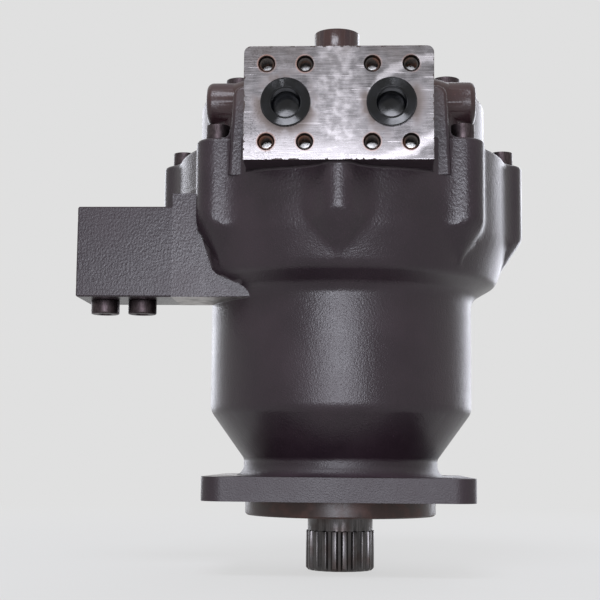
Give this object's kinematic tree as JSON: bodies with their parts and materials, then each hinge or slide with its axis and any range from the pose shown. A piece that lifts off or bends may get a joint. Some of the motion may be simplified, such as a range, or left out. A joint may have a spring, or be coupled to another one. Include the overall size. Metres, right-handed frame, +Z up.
{
  "type": "swing motor",
  "caption": "Axial piston hydraulic swing motor: square foot flange, splined shaft pointing down, barrel housing, side brake valve block and a casing with flanged ports.",
  "frame": {"origin": "centre of the square flange's mounting face, on the shaft axis", "axes": "+Z up the shaft axis away from the output spline, -Y out of the two main ports, -X towards the brake valve block"},
  "size_m": [0.3487, 0.2996, 0.4264],
  "materials": {
    "paint": "satin",
    "dark_screws": "satin",
    "shaft_steel": "satin",
    "bearing_steel": "polished",
    "ground_steel": "satin",
    "bronze": "satin",
    "friction_lining": "matte",
    "spring_steel": "satin",
    "seal_rubber": "matte",
    "block_iron": "satin",
    "black_plastic": "matte",
    "valve_paint": "satin"
  },
  "bodies": {
    "motor_frame": {"housing": "paint", "valve_casing": "paint", "casing_screws": "dark_screws", "casing_dowels": "ground_steel", "casing_o_ring": "seal_rubber", "shaft_seal": "seal_rubber", "seal_snap_ring": "spring_steel", "main_bearing_outer": "bearing_steel", "main_bearing_rollers": "bearing_steel", "rear_bearing_outer": "bearing_steel", "rear_bearing_rollers": "bearing_steel", "swash_plate": "block_iron", "thrust_plate": "ground_steel", "separator_plates": "ground_steel", "valve_plate": "bronze", "port_plug_left": "black_plastic", "port_plug_right": "black_plastic", "relief_seats": "ground_steel", "relief_springs": "spring_steel", "relief_plugs": "dark_screws", "check_valve_plugs": "dark_screws", "top_port_plug": "dark_screws", "brake_valve_block": "valve_paint", "brake_valve_screws": "dark_screws", "brake_valve_seal": "seal_rubber", "brake_valve_plugs": "dark_screws", "drain_plug": "dark_screws"},
    "rotor": {"drive_shaft": "shaft_steel", "cylinder_block": "block_iron", "friction_plates": "friction_lining", "spherical_guide": "ground_steel", "guide_pins": "ground_steel", "center_spring": "spring_steel", "main_bearing_inner": "bearing_steel", "rear_bearing_inner": "bearing_steel"},
    "shoe_plate": {"retainer_plate": "ground_steel", "piston_shoes": "bronze"},
    "brake_piston_body": {"brake_piston": "block_iron", "brake_piston_seals": "seal_rubber", "brake_springs": "spring_steel"},
    "relief_left": {"relief_poppet_left": "ground_steel"},
    "relief_right": {"relief_poppet_right": "ground_steel"},
    "check_left": {"check_poppet_left": "ground_steel", "check_spring_left": "spring_steel"},
    "check_right": {"check_poppet_right": "ground_steel", "check_spring_right": "spring_steel"},
    "spool": {"brake_valve_spool": "ground_steel", "brake_valve_spring": "spring_steel"},
    "piston_1": {"piston_1": "ground_steel"},
    "piston_2": {"piston_2": "ground_steel"},
    "piston_3": {"piston_3": "ground_steel"},
    "piston_4": {"piston_4": "ground_steel"},
    "piston_5": {"piston_5": "ground_steel"},
    "piston_6": {"piston_6": "ground_steel"},
    "piston_7": {"piston_7": "ground_steel"},
    "piston_8": {"piston_8": "ground_steel"},
    "piston_9": {"piston_9": "ground_steel"}
  },
  "joints": [
    {"name": "shaft_spin", "type": "hinge", "parent": "motor_frame", "child": "rotor", "pos_m": [0, 0, 0], "axis": [0, 0, 1], "continuous": true},
    {"name": "shoe_plate_spin", "type": "hinge", "parent": "motor_frame", "child": "shoe_plate", "pos_m": [0, 0, 0.106], "axis": [0, -0.2079, 0.9781], "continuous": true},
    {"name": "piston_1_swivel", "type": "hinge", "parent": "shoe_plate", "child": "piston_1", "pos_m": [0, -0.05143, 0.09507], "axis": [0, -0.2079, 0.9781], "continuous": true},
    {"name": "piston_2_swivel", "type": "hinge", "parent": "shoe_plate", "child": "piston_2", "pos_m": [0.03379, -0.03939, 0.09763], "axis": [0, -0.2079, 0.9781], "continuous": true},
    {"name": "piston_3_swivel", "type": "hinge", "parent": "shoe_plate", "child": "piston_3", "pos_m": [0.05178, -0.00893, 0.1041], "axis": [0, -0.2079, 0.9781], "continuous": true},
    {"name": "piston_4_swivel", "type": "hinge", "parent": "shoe_plate", "child": "piston_4", "pos_m": [0.04553, 0.02571, 0.11147], "axis": [0, -0.2079, 0.9781], "continuous": true},
    {"name": "piston_5_swivel", "type": "hinge", "parent": "shoe_plate", "child": "piston_5", "pos_m": [0.01798, 0.04832, 0.11627], "axis": [0, -0.2079, 0.9781], "continuous": true},
    {"name": "piston_6_swivel", "type": "hinge", "parent": "shoe_plate", "child": "piston_6", "pos_m": [-0.01798, 0.04832, 0.11627], "axis": [0, -0.2079, 0.9781], "continuous": true},
    {"name": "piston_7_swivel", "type": "hinge", "parent": "shoe_plate", "child": "piston_7", "pos_m": [-0.04553, 0.02571, 0.11147], "axis": [0, -0.2079, 0.9781], "continuous": true},
    {"name": "piston_8_swivel", "type": "hinge", "parent": "shoe_plate", "child": "piston_8", "pos_m": [-0.05178, -0.00893, 0.1041], "axis": [0, -0.2079, 0.9781], "continuous": true},
    {"name": "piston_9_swivel", "type": "hinge", "parent": "shoe_plate", "child": "piston_9", "pos_m": [-0.03379, -0.03939, 0.09763], "axis": [0, -0.2079, 0.9781], "continuous": true},
    {"name": "brake_piston_slide", "type": "slide", "parent": "motor_frame", "child": "brake_piston_body", "axis": [0, 0, 1], "range_m": [0, 0.0025], "stiffness_N_per_m": 20000, "springref_m": -0.004, "deforming": ["brake_springs"]},
    {"name": "relief_left_slide", "type": "slide", "parent": "motor_frame", "child": "relief_left", "axis": [-1, 0, 0], "range_m": [0, 0.003], "stiffness_N_per_m": 2000, "springref_m": -0.002},
    {"name": "relief_right_slide", "type": "slide", "parent": "motor_frame", "child": "relief_right", "axis": [1, 0, 0], "range_m": [0, 0.003], "stiffness_N_per_m": 2000, "springref_m": -0.002},
    {"name": "check_left_slide", "type": "slide", "parent": "motor_frame", "child": "check_left", "axis": [0, 0, 1], "range_m": [0, 0.006], "stiffness_N_per_m": 400, "springref_m": -0.002, "deforming": ["check_spring_left"]},
    {"name": "check_right_slide", "type": "slide", "parent": "motor_frame", "child": "check_right", "axis": [0, 0, 1], "range_m": [0, 0.006], "stiffness_N_per_m": 400, "springref_m": -0.002, "deforming": ["check_spring_right"]},
    {"name": "spool_slide", "type": "slide", "parent": "motor_frame", "child": "spool", "axis": [0, 0, -1], "range_m": [0, 0.006], "stiffness_N_per_m": 1500, "springref_m": -0.002, "deforming": ["brake_valve_spring"]}
  ],
  "couplings": [
    {"joint": "shoe_plate_spin", "follows": "shaft_spin", "ratio": 1},
    {"joint": "piston_1_swivel", "follows": "shaft_spin", "ratio": -1},
    {"joint": "piston_2_swivel", "follows": "shaft_spin", "ratio": -1},
    {"joint": "piston_3_swivel", "follows": "shaft_spin", "ratio": -1},
    {"joint": "piston_4_swivel", "follows": "shaft_spin", "ratio": -1},
    {"joint": "piston_5_swivel", "follows": "shaft_spin", "ratio": -1},
    {"joint": "piston_6_swivel", "follows": "shaft_spin", "ratio": -1},
    {"joint": "piston_7_swivel", "follows": "shaft_spin", "ratio": -1},
    {"joint": "piston_8_swivel", "follows": "shaft_spin", "ratio": -1},
    {"joint": "piston_9_swivel", "follows": "shaft_spin", "ratio": -1}
  ]
}
